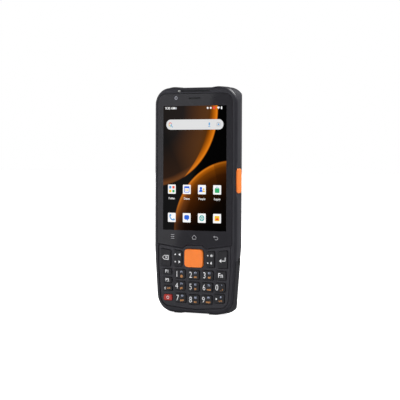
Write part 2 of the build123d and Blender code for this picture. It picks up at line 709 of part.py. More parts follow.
# ---- battery unit, latch and contacts --------------------------------------------------------------
with BuildPart() as battery_pack:
    block((-21.8, 21.8), (1.4, 6.2), (42.5, 110.5))
    fillet(battery_pack.edges().filter_by(Axis.Y), 2.0)
    block((-6.0, 6.0), (1.2, 2.4), (43.2, 46.0), mode=Mode.SUBTRACT)
save(battery_pack.part, "battery_pack")

with BuildPart() as battery_door:
    with BuildSketch(facing(HALF_DEPTH)):
        with Locations((0, sum(DOOR_Z) / 2)):
            Rectangle(2 * DOOR_HALF_WIDTH, DOOR_Z[1] - DOOR_Z[0])
    extrude(amount=DOOR_THICK)
    chamfer(battery_door.faces().sort_by(Axis.Y)[-1].edges(), 0.25)
    with BuildSketch(facing(HALF_DEPTH)):
        with Locations((0, 106.5)):
            SlotOverall(16, 3)
    extrude(amount=0.5, mode=Mode.SUBTRACT)
save(battery_door.part, "battery_door")

with BuildPart() as battery_latch:
    block((-8.0, 8.0), (6.3, 7.4), (114.6, 119.6))
    with BuildSketch(facing(7.4)):
        with GridLocations(2.4, 1, 5, 1):
            with Locations((0, 117.1)):
                Rectangle(0.9, 3.6)
    extrude(amount=0.4, mode=Mode.SUBTRACT)
    block((-2.0, 2.0), (5.4, 6.4), (115.7, 118.5))
    block((-4.0, 4.0), (4.7, 5.5), (115.1, 119.1))
save(battery_latch.part, "battery_latch")

with BuildPart() as battery_contacts:
    block((-6.0, 6.0), (BRACKET_BACK_Y, 1.3), (43.2, 46.0))
    with BuildSketch(facing(1.9)):
        with GridLocations(2.8, 1, 4, 1):
            with Locations((0, 44.6)):
                Rectangle(1.2, 1.8)
    extrude(amount=0.6)
save(battery_contacts.part, "battery_contacts")

with BuildPart() as usb_port:
    with BuildSketch(Plane.XY.offset(1.2)):
        with Locations((0, USB_Y)):
            SlotOverall(9.0, 3.2)
            SlotOverall(8.4, 2.6, mode=Mode.SUBTRACT)
    extrude(amount=7.2)
    with BuildSketch(Plane.XY.offset(2.0)):
        with Locations((0, USB_Y)):
            Rectangle(6.8, 0.7)
    extrude(amount=6.4)
    with BuildSketch(Plane.XY.offset(7.6)):
        with Locations((0, USB_Y)):
            SlotOverall(9.0, 3.2)
    extrude(amount=0.8)
save(usb_port.part, "usb_port")

with BuildPart() as dock_contacts:
    with BuildSketch(facing(7.6)):
        with GridLocations(DOCK_PITCH, 1, 5, 1):
            with Locations((0, DOCK_Z)):
                Rectangle(2.0, 3.2)
    extrude(amount=3.2)
save(dock_contacts.part, "dock_contacts")


# ---- screws and strap pins ---------------------------------------------------------------------------
with BuildPart() as housing_screws:
    for x_screw, z_screw, head_y in (
            (-UPPER_SCREWS[0], UPPER_SCREWS[1], 7.2), (*UPPER_SCREWS, 7.2),
            (-LOWER_SCREWS[0], LOWER_SCREWS[1], 7.6), (*LOWER_SCREWS, 7.6)):
        with BuildSketch(facing(head_y)):
            with Locations((x_screw, z_screw)):
                Circle(SCREW_HEAD_RADIUS)
        extrude(amount=1.0)
        with BuildSketch(facing(head_y - 1.0)):
            with Locations((x_screw, z_screw)):
                Circle(SCREW_SHANK_RADIUS)
        extrude(amount=6.0)
        with BuildSketch(facing(head_y)):
            with Locations((x_screw, z_screw)):
                RegularPolygon(0.9, 6)
        extrude(amount=0.6, mode=Mode.SUBTRACT)
save(housing_screws.part, "housing_screws")

with BuildPart() as strap_pins:
    for side in (-1, 1):
        with Locations((side * STRAP_PIN_X, -1.0, sum(STRAP_Z) / 2)):
            Cylinder(0.6, STRAP_Z[1] - STRAP_Z[0])
save(strap_pins.part, "strap_pins")
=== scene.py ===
"""Looks of the rugged handheld data terminal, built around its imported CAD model, in metres."""

import json
import math

import bmesh
import bpy
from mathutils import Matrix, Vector

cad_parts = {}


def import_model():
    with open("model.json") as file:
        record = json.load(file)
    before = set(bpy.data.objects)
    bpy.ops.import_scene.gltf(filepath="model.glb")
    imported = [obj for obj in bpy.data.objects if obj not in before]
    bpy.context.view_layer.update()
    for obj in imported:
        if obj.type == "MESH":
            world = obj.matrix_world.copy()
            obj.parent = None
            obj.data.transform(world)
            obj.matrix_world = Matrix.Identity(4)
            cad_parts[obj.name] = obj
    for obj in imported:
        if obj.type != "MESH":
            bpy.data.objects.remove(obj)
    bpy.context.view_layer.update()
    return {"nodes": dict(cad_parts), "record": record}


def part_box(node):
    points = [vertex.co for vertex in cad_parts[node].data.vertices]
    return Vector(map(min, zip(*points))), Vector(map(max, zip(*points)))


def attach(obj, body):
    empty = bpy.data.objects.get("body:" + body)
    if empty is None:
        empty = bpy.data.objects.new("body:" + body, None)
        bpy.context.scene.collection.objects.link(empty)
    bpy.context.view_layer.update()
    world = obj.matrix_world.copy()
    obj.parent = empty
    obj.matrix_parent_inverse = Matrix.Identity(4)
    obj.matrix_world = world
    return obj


MM = 0.001
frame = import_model()


# ---- places, in millimetres ------------------------------------------------------------------
def front_of(node):
    """Centre and front height of a node's box."""
    low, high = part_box(node)
    return (low.x + high.x) / 2 / MM, (low.z + high.z) / 2 / MM, low.y / MM


LENS_FRONT = front_of("touch_lens")[2]
LENS_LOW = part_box("touch_lens")[0].z / MM

SCREEN_WIDTH = 52.3
SCREEN_HEIGHT = 87.2
SCREEN_Z = front_of("lcd_module")[1] + 1.0
SCREEN_TOP = SCREEN_Z + SCREEN_HEIGHT / 2
PRINT_STEP = 0.012           # one printed layer stands this far in front of the last
INK_THICK = 0.008


# ---- node helpers ----------------------------------------------------------------------------
class Tree:
    """A node tree, with short calls for adding nodes and sums."""

    def __init__(self, owner):
        owner.use_nodes = True
        self.tree = owner.node_tree

    def add(self, kind, inputs=None, **settings):
        node = self.tree.nodes.new(kind)
        for key, value in settings.items():
            setattr(node, key, value)
        for key, value in (inputs or {}).items():
            if isinstance(value, bpy.types.NodeSocket):
                self.tree.links.new(value, node.inputs[key])
            else:
                node.inputs[key].default_value = value
        return node

    def maths(self, operation, first, second=0.0):
        return self.add("ShaderNodeMath", {0: first, 1: second}, operation=operation).outputs[0]

    def dot(self, first, second):
        return self.add("ShaderNodeVectorMath", {0: first, 1: second},
                        operation="DOT_PRODUCT").outputs["Value"]

    def spread(self, socket, low, high, from_low=0.3, from_high=0.7):
        """Maps a value from one range onto another, clamped."""
        return self.add("ShaderNodeMapRange", {
            "Value": socket, "From Min": from_low, "From Max": from_high,
            "To Min": low, "To Max": high}).outputs[0]

    def blend(self, share, first, second, mode="MIX"):
        made = self.add("ShaderNodeMix", data_type="RGBA", blend_type=mode)
        for index, value in ((0, share), (6, first), (7, second)):
            if isinstance(value, bpy.types.NodeSocket):
                self.tree.links.new(value, made.inputs[index])
            else:
                made.inputs[index].default_value = value
        return made.outputs[2]


class Nodes(Tree):
    """A material's node tree around one Principled shader."""

    def __init__(self, name, **values):
        self.material = bpy.data.materials.new(name)
        super().__init__(self.material)
        self.shader = self.tree.nodes["Principled BSDF"]
        self.set(**values)
        self.place = self.add("ShaderNodeTexCoord").outputs["Object"]

    def set(self, **values):
        for key, value in values.items():
            self.shader.inputs[key.replace("_", " ")].default_value = value

    def join(self, socket, name):
        self.tree.links.new(socket, self.shader.inputs[name])

    def noise(self, size, detail=3.0, stretch=(1, 1, 1), rough=0.55):
        """Noise whose grains are about size millimetres across."""
        place = self.place
        if stretch != (1, 1, 1):
            place = self.add("ShaderNodeMapping", {"Vector": place, "Scale": stretch}).outputs[0]
        made = self.add("ShaderNodeTexNoise", {
            "Vector": place, "Scale": 1 / (size * MM), "Detail": detail, "Roughness": rough})
        return made.outputs["Fac"]

    def rounded_edge(self, radius):
        """A normal that rounds sharp edges by radius millimetres."""
        return self.add("ShaderNodeBevel", {"Radius": radius * MM}, samples=6).outputs[0]

    def edge_mask(self, radius):
        """One along sharp edges, none on flat faces."""
        rounded = self.rounded_edge(radius)
        true_normal = self.add("ShaderNodeNewGeometry").outputs["Normal"]
        return self.spread(self.dot(rounded, true_normal), 1.0, 0.0, 0.80, 0.99)

    def bump(self, height, depth, strength=1.0, normal=None):
        """A normal for relief that is depth millimetres deep."""
        inputs = {"Height": height, "Distance": depth * MM, "Strength": strength}
        if normal is not None:
            inputs["Normal"] = normal
        return self.add("ShaderNodeBump", inputs).outputs[0]

    def polish(self):
        """Gives the surface the gloss of glass, with faint finger smears."""
        smears = self.noise(16.0, 5.0, (1, 1, 0.5), 0.6)
        self.join(self.spread(smears, 0.02, 0.05, 0.45, 0.75), "Roughness")


def shade(colour, factor):
    """The colour made darker or lighter, as four values."""
    return tuple(min(1.0, c * factor) for c in colour[:3]) + (1.0,)


# ---- finishes --------------------------------------------------------------------------------
def moulded_plastic(name, colour, roughness, grain=0.35, depth=0.02, wear=0.25, edge=0.25):
    """Spark-eroded moulded plastic: fine grain, uneven tone, slightly polished edges."""
    n = Nodes(name)
    fine = n.noise(grain, 2.0)
    broad = n.noise(14.0, 3.0)
    tone = n.blend(n.spread(broad, 0.0, 1.0), shade(colour, 0.9), shade(colour, 1.1))
    rubbed = n.maths("MULTIPLY", n.edge_mask(edge), n.spread(n.noise(2.5), 0.3, 1.0))
    n.join(n.blend(n.maths("MULTIPLY", rubbed, wear), tone, shade(colour, 2.1)), "Base Color")
    rough = n.spread(fine, roughness - 0.06, roughness + 0.08)
    n.join(n.maths("SUBTRACT", rough, n.maths("MULTIPLY", rubbed, 0.15)), "Roughness")
    n.join(n.bump(fine, depth, 0.6, n.rounded_edge(edge)), "Normal")
    return n.material


def rubber(name, colour, roughness=0.72):
    """Soft-touch elastomer with a fine leathery skin and a little dust."""
    n = Nodes(name, Specular_IOR_Level=0.12, Sheen_Weight=0.02, Sheen_Roughness=0.5)
    skin_cell = 0.55 * MM
    skin = n.add("ShaderNodeTexVoronoi", {"Vector": n.place, "Scale": 1 / skin_cell},
                 feature="SMOOTH_F1").outputs["Distance"]
    dust = n.noise(6.0, 6.0, rough=0.7)
    n.join(n.blend(n.spread(dust, 0.0, 0.35, 0.5, 0.8), colour + (1.0,), shade(colour, 1.9)),
           "Base Color")
    n.join(n.spread(dust, roughness - 0.08, roughness + 0.12), "Roughness")
    n.join(n.bump(skin, 0.03, 0.5, n.rounded_edge(0.35)), "Normal")
    return n.material


def bright_plastic(name, colour, roughness):
    """Coloured key plastic: even, faintly translucent, with a silky grain."""
    n = Nodes(name, Subsurface_Weight=0.12, Subsurface_Scale=1.2 * MM, Specular_IOR_Level=0.45)
    n.set(Subsurface_Radius=(1.0, 0.35, 0.15))
    fine = n.noise(0.3, 2.0)
    broad = n.noise(9.0, 3.0)
    n.join(n.blend(n.spread(broad, 0.0, 1.0), shade(colour, 0.93), shade(colour, 1.04)),
           "Base Color")
    n.join(n.spread(fine, roughness - 0.05, roughness + 0.1), "Roughness")
    n.join(n.bump(fine, 0.012, 0.5, n.rounded_edge(0.3)), "Normal")
    return n.material


def metal(name, colour, roughness, stretch=(1, 1, 14)):
    """Sheet or turned metal with fine directional scratches."""
    n = Nodes(name, Metallic=1.0)
    lines = n.noise(0.5, 4.0, stretch)
    stain = n.noise(8.0, 4.0)
    n.join(n.blend(n.spread(stain, 0.0, 1.0), shade(colour, 0.86), shade(colour, 1.08)),
           "Base Color")
    n.join(n.spread(lines, roughness - 0.08, roughness + 0.14), "Roughness")
    n.join(n.bump(lines, 0.006, 0.5, n.rounded_edge(0.12)), "Normal")
    return n.material


def circuit_board(name):
    """Green solder resist over copper tracks, with plated pads."""
    n = Nodes(name, Coat_Weight=0.4, Coat_Roughness=0.2, Roughness=0.4)
    track_pitch = 6 * MM
    pad_pitch = 2.2 * MM
    turned = n.add("ShaderNodeMapping", {"Vector": n.place, "Rotation": (math.pi / 2, 0, 0)})
    tracks = n.add("ShaderNodeTexBrick", {
        "Vector": turned.outputs[0], "Scale": 1 / track_pitch, "Mortar Size": 0.03,
        "Color1": (0.01, 0.1, 0.035, 1), "Color2": (0.012, 0.14, 0.05, 1),
        "Mortar": (0.03, 0.24, 0.09, 1)})
    pads = n.add("ShaderNodeTexVoronoi", {"Vector": n.place, "Scale": 1 / pad_pitch,
                                          "Randomness": 0.6}).outputs["Distance"]
    pad_mask = n.maths("LESS_THAN", pads, 0.16)
    n.join(n.blend(pad_mask, tracks.outputs["Color"], (0.75, 0.5, 0.2, 1)), "Base Color")
    n.join(pad_mask, "Metallic")
    n.join(n.bump(tracks.outputs["Fac"], 0.02, 0.4), "Normal")
    return n.material


def woven_grille(name):
    """Fine dust mesh: dark cloth with a regular weave."""
    n = Nodes(name)
    thread_pitch = 1.6 * MM
    across, along = (
        n.add("ShaderNodeTexWave", {"Vector": n.place, "Scale": 1 / thread_pitch},
              bands_direction=direction).outputs["Fac"] for direction in ("X", "Z"))
    weave = n.maths("MULTIPLY", across, along)
    n.join(n.blend(weave, (0.004, 0.004, 0.005, 1), (0.03, 0.03, 0.034, 1)), "Base Color")
    n.join(n.spread(weave, 0.5, 0.85, 0.0, 1.0), "Roughness")
    n.join(n.bump(weave, 0.06), "Normal")
    return n.material


def printed_glass(name):
    """Cover glass with charcoal ink printed behind it, polished, with faint smears."""
    n = Nodes(name)
    flecks = n.noise(0.25, 1.0)
    n.join(n.blend(n.spread(flecks, 0.0, 1.0, 0.4, 0.9), (0.017, 0.0165, 0.0195, 1),
                   (0.022, 0.0215, 0.0250, 1)), "Base Color")
    n.polish()
    n.join(n.rounded_edge(0.12), "Normal")
    return n.material


def clear_resin(name, colour):
    """Clear or tinted moulded resin with a faint ripple."""
    n = Nodes(name, Transmission_Weight=0.75, IOR=1.49)
    ripple = n.noise(1.5, 2.0)
    n.join(n.blend(n.spread(ripple, 0.0, 1.0), shade(colour, 0.92), shade(colour, 1.0)),
           "Base Color")
    n.join(n.spread(ripple, 0.15, 0.3), "Roughness")
    n.join(n.bump(ripple, 0.01, 0.4), "Normal")
    return n.material


def dark_optic(name, colour):
    """Coated lens or window: near-black, mirror smooth, with a bluish or red painted sheen that
    lightens the colour at grazing view.
    """
    n = Nodes(name, Coat_Weight=1.0, Coat_Roughness=0.02)
    coating_sheen = n.add("ShaderNodeLayerWeight", {"Blend": 0.35}).outputs["Facing"]
    # painted sheen: the colour turns up to three times lighter towards grazing view
    n.join(n.blend(coating_sheen, colour + (1.0,), shade(colour, 3.0)), "Base Color")
    n.join(n.spread(n.noise(5.0, 4.0), 0.04, 0.1), "Roughness")
    return n.material


def ink(name, colour, roughness=0.5):
    """Printed ink: slightly uneven cover over the plastic grain."""
    n = Nodes(name)
    cover = n.noise(0.25, 3.0)
    n.join(n.blend(n.spread(cover, 0.0, 1.0), shade(colour, 0.82), shade(colour, 1.0)),
           "Base Color")
    n.join(n.spread(cover, roughness - 0.08, roughness + 0.1), "Roughness")
    n.join(n.bump(cover, 0.006, 0.5), "Normal")
    return n.material


def lit_pixels(name, colour):
    """A lit area of the display behind glass, with the faint grid of its pixels."""
    n = Nodes(name, Specular_IOR_Level=0.2, Emission_Strength=1.0)
    n.set(Base_Color=(0.0, 0.0, 0.0, 1.0))
    row_pitch = 2.2 * MM
    grid = n.add("ShaderNodeTexWave", {"Vector": n.place, "Scale": 1 / row_pitch},
                 bands_direction="Z").outputs["Fac"]
    n.join(n.blend(grid, shade(colour, 0.93), shade(colour, 1.0)), "Emission Color")
    n.polish()
    return n.material


# The wallpaper shows two planets. Each circle is given by its centre x, z and its radius.
UPPER_PLANET = (-35.1, SCREEN_Z + 41.0, 53.9)
UPPER_SHADOW = (-61.3, SCREEN_Z + 46.8, 74.8)      # covers all of the planet but a crescent
LOWER_PLANET = (31.6, SCREEN_Z - 42.9, 48.2)
RAMP_END = 1.1               # the colour ramps end this many radii from the centre
GLARE_EDGE = 40.2            # up to here, along the glare's slope, the glass mirrors the soft box, and the wallpaper is painted brighter there as a painted reflection
GLARE_SLOPE = (0.97, 0.0, 0.24)
BLACK = (0.0, 0.0, 0.0)


class Wallpaper(Nodes):
    """Two dark planets with glowing orange limbs, drawn with distances only."""

    def __init__(self):
        super().__init__("wallpaper", Specular_IOR_Level=0.15, Emission_Strength=1.0)
        self.set(Base_Color=BLACK + (1.0,))
        self.flat = self.add("ShaderNodeVectorMath", {0: self.place, 1: (1, 0, 1)},
                             operation="MULTIPLY").outputs[0]
        both = self.blend(1.0, self.upper_planet(), self.lower_planet(), "ADD")
        haze = self.spread(self.noise(30.0, 4.0, rough=0.6), 0.12, 0.0)
        self.join(self.darkened(both, haze), "Emission Color")
        self.polish()

    def reach(self, x, z, radius):
        """Distance from a centre as a share of a radius, and the way from that centre."""
        offset = self.add("ShaderNodeVectorMath", {0: self.flat, 1: (x * MM, 0.0, z * MM)},
                          operation="SUBTRACT").outputs[0]
        length = self.add("ShaderNodeVectorMath", {0: offset}, operation="LENGTH")
        way = self.add("ShaderNodeVectorMath", {0: offset}, operation="NORMALIZE").outputs[0]
        return self.maths("DIVIDE", length.outputs["Value"], radius * MM), way

    def ramp(self, value, stops):
        """Colours along a value, from (value, colour) stops, black from just past 1."""
        made = self.add("ShaderNodeValToRGB", {"Fac": self.maths("DIVIDE", value, RAMP_END)})
        band = made.color_ramp
        band.elements[0].position = 0.0
        band.elements[0].color = stops[0][1] + (1,)
        band.elements[1].position = 1.0
        band.elements[1].color = BLACK + (1,)
        for position, colour in stops[1:]:
            band.elements.new(position / RAMP_END).color = colour + (1,)
        return made.outputs[0]

    def lit_from(self, way, x, z, dim, low, high):
        """One on the side facing x, z and dim on the other side."""
        toward = Vector((x, 0.0, z)).normalized()
        return self.spread(self.dot(way, toward), dim, 1.0, low, high)

    def darkened(self, colour, share):
        """The colour with that share of it taken away."""
        return self.blend(share, colour, BLACK + (1,))

    def kept(self, colour, share):
        """The colour with only that share of it left."""
        return self.darkened(colour, self.maths("SUBTRACT", 1.0, share))

    def upper_planet(self):
        """A brown disc, and a crescent between two circles that meet at the lower left."""
        outer, way = self.reach(*UPPER_PLANET)
        inner, _ = self.reach(*UPPER_SHADOW)
        disc = self.ramp(outer, [
            (0.0, (0.006, 0.004, 0.003)), (0.48, (0.010, 0.006, 0.005)),
            (0.73, (0.070, 0.022, 0.003)), (0.92, (0.100, 0.032, 0.004)),
            (1.0, (0.080, 0.024, 0.003)), (1.006, BLACK)])
        rim = self.ramp(outer, [
            (0.0, BLACK), (0.90, BLACK), (0.98, (0.13, 0.040, 0.006)),
            (1.0, (0.10, 0.030, 0.004)), (1.006, BLACK)])
        crescent = self.ramp(outer, [
            (0.0, (0.05, 0.012, 0.001)), (0.80, (0.06, 0.014, 0.001)),
            (0.91, (0.20, 0.05, 0.001)), (0.965, (0.60, 0.15, 0.003)),
            (0.992, (0.85, 0.23, 0.008)), (1.003, (0.4, 0.1, 0.004)), (1.008, BLACK)])
        dusk = self.spread(self.dot(way, Vector((1.0, 0.0, -0.28)).normalized()), 0.80, 0.0,
                           0.70, 0.97)
        disc = self.blend(1.0, self.darkened(disc, dusk), rim, "LIGHTEN")
        glow = self.lit_from(way, 1.0, -0.35, 0.18, 0.30, 0.93)
        dim_disc = self.darkened(disc, self.spread(glow, 0.0, 0.8))
        lit = self.blend(1.0, self.kept(crescent, glow), dim_disc, "LIGHTEN")
        in_crescent = self.spread(inner, 0.0, 1.0, 0.995, 1.004)
        return self.blend(in_crescent, disc, lit)

    def lower_planet(self):
        """A glowing limb that fades to black inside, painted brighter where the glass mirrors the
        soft box, a painted reflection.
        """
        limb, way = self.reach(*LOWER_PLANET)
        glowing = self.ramp(limb, [
            (0.0, BLACK), (0.45, (0.003, 0.001, 0.0)), (0.66, (0.020, 0.005, 0.0)),
            (0.82, (0.056, 0.013, 0.0005)), (0.92, (0.17, 0.042, 0.001)),
            (0.97, (0.42, 0.105, 0.002)), (0.992, (0.72, 0.21, 0.012)),
            (1.003, (0.4, 0.1, 0.004)), (1.008, BLACK)])
        glowing = self.kept(glowing, self.lit_from(way, -0.6, 0.8, 0.12, 0.66, 0.95))
        # painted reflection of the soft box: full brightness on its side of the line, 0.72 beyond
        # it
        glare = self.spread(self.dot(self.flat, Vector(GLARE_SLOPE)), 1.0, 0.72,
                            GLARE_EDGE * MM, (GLARE_EDGE + 0.3) * MM)
        return self.kept(glowing, glare)


HOUSING_CHARCOAL = (0.0185, 0.018, 0.0235)
PANEL_CHARCOAL = (0.024, 0.0233, 0.0285)
KEY_CHARCOAL = (0.014, 0.0138, 0.0165)
FINISHES = {
    "housing_plastic": moulded_plastic("housing_finish", HOUSING_CHARCOAL, 0.40, wear=0.3),
    "panel_plastic": moulded_plastic("panel_finish", PANEL_CHARCOAL, 0.34, grain=0.22,
                                     depth=0.008, edge=0.15),
    "key_plastic": moulded_plastic("key_finish", KEY_CHARCOAL, 0.40, grain=0.25, depth=0.010,
                                   wear=0.35, edge=0.3),
    "switch_plastic": moulded_plastic("switch_finish", (0.02, 0.02, 0.021), 0.55),
    "battery_wrap": moulded_plastic("battery_finish", (0.04, 0.042, 0.05), 0.35, grain=0.6,
                                    depth=0.01),
    "orange_plastic": bright_plastic("orange_finish", (0.74, 0.175, 0.018), 0.46),
    "latch_plastic": bright_plastic("latch_finish", (0.90, 0.20, 0.02), 0.45),
    "red_plastic": bright_plastic("red_finish", (0.34, 0.024, 0.018), 0.45),
    "bumper_rubber": rubber("bumper_finish", (0.016, 0.016, 0.0185)),
    "seal_rubber": rubber("seal_finish", (0.014, 0.014, 0.015), 0.8),
    "cover_glass": printed_glass("cover_glass_finish"),
    "display": dark_optic("display_finish", (0.006, 0.006, 0.008)),
    "chassis_metal": metal("chassis_finish", (0.60, 0.61, 0.62), 0.34),
    "contact_metal": metal("contact_finish", (0.66, 0.65, 0.62), 0.25),
    "gold_contacts": metal("gold_finish", (0.92, 0.66, 0.30), 0.22),
    "screw_steel": metal("screw_finish", (0.07, 0.07, 0.075), 0.4, stretch=(1, 14, 1)),
    "bezel_metal": metal("bezel_finish", (0.13, 0.13, 0.145), 0.28, stretch=(14, 1, 14)),
    "circuit_board": circuit_board("board_finish"),
    "grille_plastic": woven_grille("grille_finish"),
    "clear_plastic": clear_resin("clear_finish", (0.88, 0.89, 0.86)),
    "red_window": dark_optic("window_finish", (0.03, 0.002, 0.002)),
    "camera_glass": dark_optic("camera_glass_finish", (0.004, 0.005, 0.012)),
}
for entry in frame["record"]["subparts"]:
    mesh = frame["nodes"][entry["node"]].data
    mesh.materials.clear()
    mesh.materials.append(FINISHES[entry["material_slot"]])

WHITE_INK = ink("white_ink", (0.74, 0.745, 0.76))
BLUE_INK = ink("blue_ink", (0.50, 0.56, 0.74))
ORANGE_INK = ink("orange_ink", (0.62, 0.26, 0.07))
GREY_INK = ink("grey_ink", (0.34, 0.34, 0.36), 0.35)
RING_INK = ink("ring_ink", (0.32, 0.32, 0.36), 0.35)


# ---- flat drawings ---------------------------------------------------------------------------
CAPITAL_SHARE = 0.70         # a capital's height as a share of the lettering size


def circle(x, z, radius):
    count = 40
    turn = 2 * math.pi / count
    return [(x + radius * math.cos(i * turn), z + radius * math.sin(i * turn))
            for i in range(count)]


def arc(x, z, radius, start, end, count=24):
    """Points along an arc, angles in degrees."""
    angles = [math.radians(start + (end - start) * i / count) for i in range(count + 1)]
    return [(x + radius * math.cos(a), z + radius * math.sin(a)) for a in angles]


def band(x, z, radius, width, start, end):
    """A stretch of ring."""
    return (arc(x, z, radius + width / 2, start, end)
            + arc(x, z, radius - width / 2, end, start))


def rounded(x, z, width, height, radius):
    """Rectangle with round corners, centred on x, z."""
    across, up = width / 2 - radius, height / 2 - radius
    points = []
    for corner, (side, rise) in enumerate(((1, 1), (-1, 1), (-1, -1), (1, -1))):
        points += arc(x + side * across, z + rise * up, radius, 90 * corner, 90 * corner + 90, 8)
    return points


def stroke(points, width):
    """A polyline drawn as short overlapping bars."""
    bars = []
    for (x0, z0), (x1, z1) in zip(points, points[1:]):
        length = math.hypot(x1 - x0, z1 - z0)
        ax, az = (x1 - x0) / length * width / 2, (z1 - z0) / length * width / 2
        bars.append([(x0 - ax - az, z0 - az + ax), (x0 - ax + az, z0 - az - ax),
                     (x1 + ax + az, z1 + az - ax), (x1 + ax - az, z1 + az + ax)])
    return bars


def place(name, mesh, body, slot):
    """Adds a finished mesh as a piece that rides on a body."""
    made = bpy.data.objects.new(name, mesh)
    bpy.context.scene.collection.objects.link(made)
    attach(made, body)


def object_from(name, mesh, body, material, slot):
    """Adds a mesh of one material as a piece."""
    mesh.materials.append(material)
    place(name, mesh, body, slot)


def flat_mesh(name, shapes, front, holes=False):
    """Closed thin plate facing the user; with holes, inner outlines cut the outer one."""
    mesh = bpy.data.meshes.new(name)
    build = bmesh.new()
    groups = [shapes] if holes else [[shape] for shape in shapes]
    for group in groups:
        curve = bpy.data.curves.new(name + "_outline", "CURVE")
        curve.dimensions = "2D"
        curve.fill_mode = "BOTH"
        curve.extrude = INK_THICK * MM / 2
        for points in group:
            spline = curve.splines.new("POLY")
            spline.points.add(len(points) - 1)
            for point, (x, z) in zip(spline.points, points):
                point.co = (x * MM, z * MM, 0, 1)
            spline.use_cyclic_u = True
        holder = bpy.data.objects.new(name + "_outline", curve)
        bpy.context.scene.collection.objects.link(holder)
        bpy.context.view_layer.update()
        part = bpy.data.meshes.new_from_object(holder.evaluated_get(
            bpy.context.evaluated_depsgraph_get()))
        build.from_mesh(part)
        bpy.data.objects.remove(holder)
        bpy.data.curves.remove(curve)
        bpy.data.meshes.remove(part)
    settle(build, mesh, front)
    return mesh


def settle(build, mesh, front):
    """Stands a flat drawing upright, with its face at front, and closes it."""
    bmesh.ops.remove_doubles(build, verts=build.verts, dist=1e-7)
    for vertex in build.verts:
        x, z, height = vertex.co
        vertex.co = (x, (front + INK_THICK / 2) * MM - height, z)
    bmesh.ops.recalc_face_normals(build, faces=build.faces)
    build.to_mesh(mesh)
    build.free()


def text_mesh(name, text, x, z, height, front, weight=0.0, align="CENTER", narrow=1.0):
    """Plain lettering of that capital height; x is its middle, or its start when aligned left."""
    curve = bpy.data.curves.new(name, "FONT")
    curve.body = text
    curve.align_x = align
    curve.align_y = "CENTER"
    curve.size = height * MM / CAPITAL_SHARE
    curve.extrude = INK_THICK * MM / 2
    curve.offset = weight * MM
    curve.resolution_u = 3
    holder = bpy.data.objects.new(name, curve)
    bpy.context.scene.collection.objects.link(holder)
    bpy.context.view_layer.update()
    flat = bpy.data.meshes.new_from_object(holder.evaluated_get(
        bpy.context.evaluated_depsgraph_get()))
    bpy.data.objects.remove(holder)
    bpy.data.curves.remove(curve)
    build = bmesh.new()
    build.from_mesh(flat)
    bpy.data.meshes.remove(flat)
    for vertex in build.verts:
        vertex.co.x = vertex.co.x * narrow + x * MM
        vertex.co.y += z * MM
    mesh = bpy.data.meshes.new(name)
    settle(build, mesh, front)
    return mesh


def joined(name, parts, body, slot):
    """One piece from several (mesh, material) pairs."""
    build = bmesh.new()
    materials = []
    for mesh, material in parts:
        if material not in materials:
            materials.append(material)
        count = len(build.faces)
        build.from_mesh(mesh)
        build.faces.ensure_lookup_table()
        for face in build.faces[count:]:
            face.material_index = materials.index(material)
        bpy.data.meshes.remove(mesh)
    mesh = bpy.data.meshes.new(name)
    for material in materials:
        mesh.materials.append(material)
    build.to_mesh(mesh)
    build.free()
    place(name, mesh, body, slot)


def layer(count):
    """Front height of the count-th printed layer on the glass, in mm."""
    return LENS_FRONT - PRINT_STEP * count


# ---- the lit display -------------------------------------------------------------------------
object_from("display_wallpaper", flat_mesh("display_wallpaper", [
    rounded(0, SCREEN_Z, SCREEN_WIDTH, SCREEN_HEIGHT, 0.3)], layer(1)), "handset",
    Wallpaper().material, "display")

PIXEL_WHITE = lit_pixels("pixel_white", (1.0, 1.0, 1.0))
PIXEL_GREY = lit_pixels("pixel_grey", (0.77, 0.775, 0.78))
PIXEL_DIM = lit_pixels("pixel_dim", (0.45, 0.46, 0.5))
PIXEL_RED = lit_pixels("pixel_red", (0.85, 0.08, 0.05))
PIXEL_BLUE = lit_pixels("pixel_blue", (0.03, 0.14, 0.72))
PIXEL_SKY = lit_pixels("pixel_sky", (0.12, 0.38, 0.72))
PIXEL_GREEN = lit_pixels("pixel_green", (0.04, 0.42, 0.16))
PIXEL_YELLOW = lit_pixels("pixel_yellow", (0.93, 0.58, 0.04))
PIXEL_TEAL = lit_pixels("pixel_teal", (0.03, 0.40, 0.38))

CLOCK_X = -24.6
ALARM_X = -15.6
DOT_XS = (10.7, 13.2)
RECORD_X = 16.0
WIRELESS_X = 19.5
CELL_X = 22.0
LOUPE_X = -20.3
VOICE_X = 12.1
PHOTO_X = 19.6
STATUS_Z = SCREEN_TOP - 1.65
SEARCH_Z = SCREEN_TOP - 13.1
SEARCH_WIDTH = 47.2
SEARCH_HEIGHT = 7.1
TILE = 6.45
TILE_LAYER = 3
TILE_COLUMNS = (-18.75, -6.25, 6.25, 18.75)
TILE_ROWS = (SCREEN_TOP - 58.5, SCREEN_TOP - 78.4)


def status_bar():
    """Clock on the left, small status marks on the right."""
    z = STATUS_Z
    top = layer(2)
    fan = [(WIRELESS_X, z - 0.9)] + arc(WIRELESS_X, z - 0.9, 1.7, 48, 132)
    cell = [rounded(CELL_X, z - 0.1, 1.1, 1.7, 0.25), rounded(CELL_X, z + 0.85, 0.5, 0.3, 0.1)]
    joined("status_bar", [
        (text_mesh("clock", "9:30 AM", CLOCK_X, z, 1.7, top, weight=0.04, align="LEFT"),
         PIXEL_WHITE),
        (flat_mesh("alarm", [circle(ALARM_X, z, 0.75)], top), PIXEL_DIM),
        (flat_mesh("dots", [circle(x, z, 0.72) for x in DOT_XS], top), PIXEL_WHITE),
        (flat_mesh("record", [circle(RECORD_X, z, 1.05)], top), PIXEL_RED),
        (flat_mesh("wireless", [fan], top), PIXEL_WHITE),
        (flat_mesh("battery", cell, top), PIXEL_WHITE),
    ], "handset", "display")


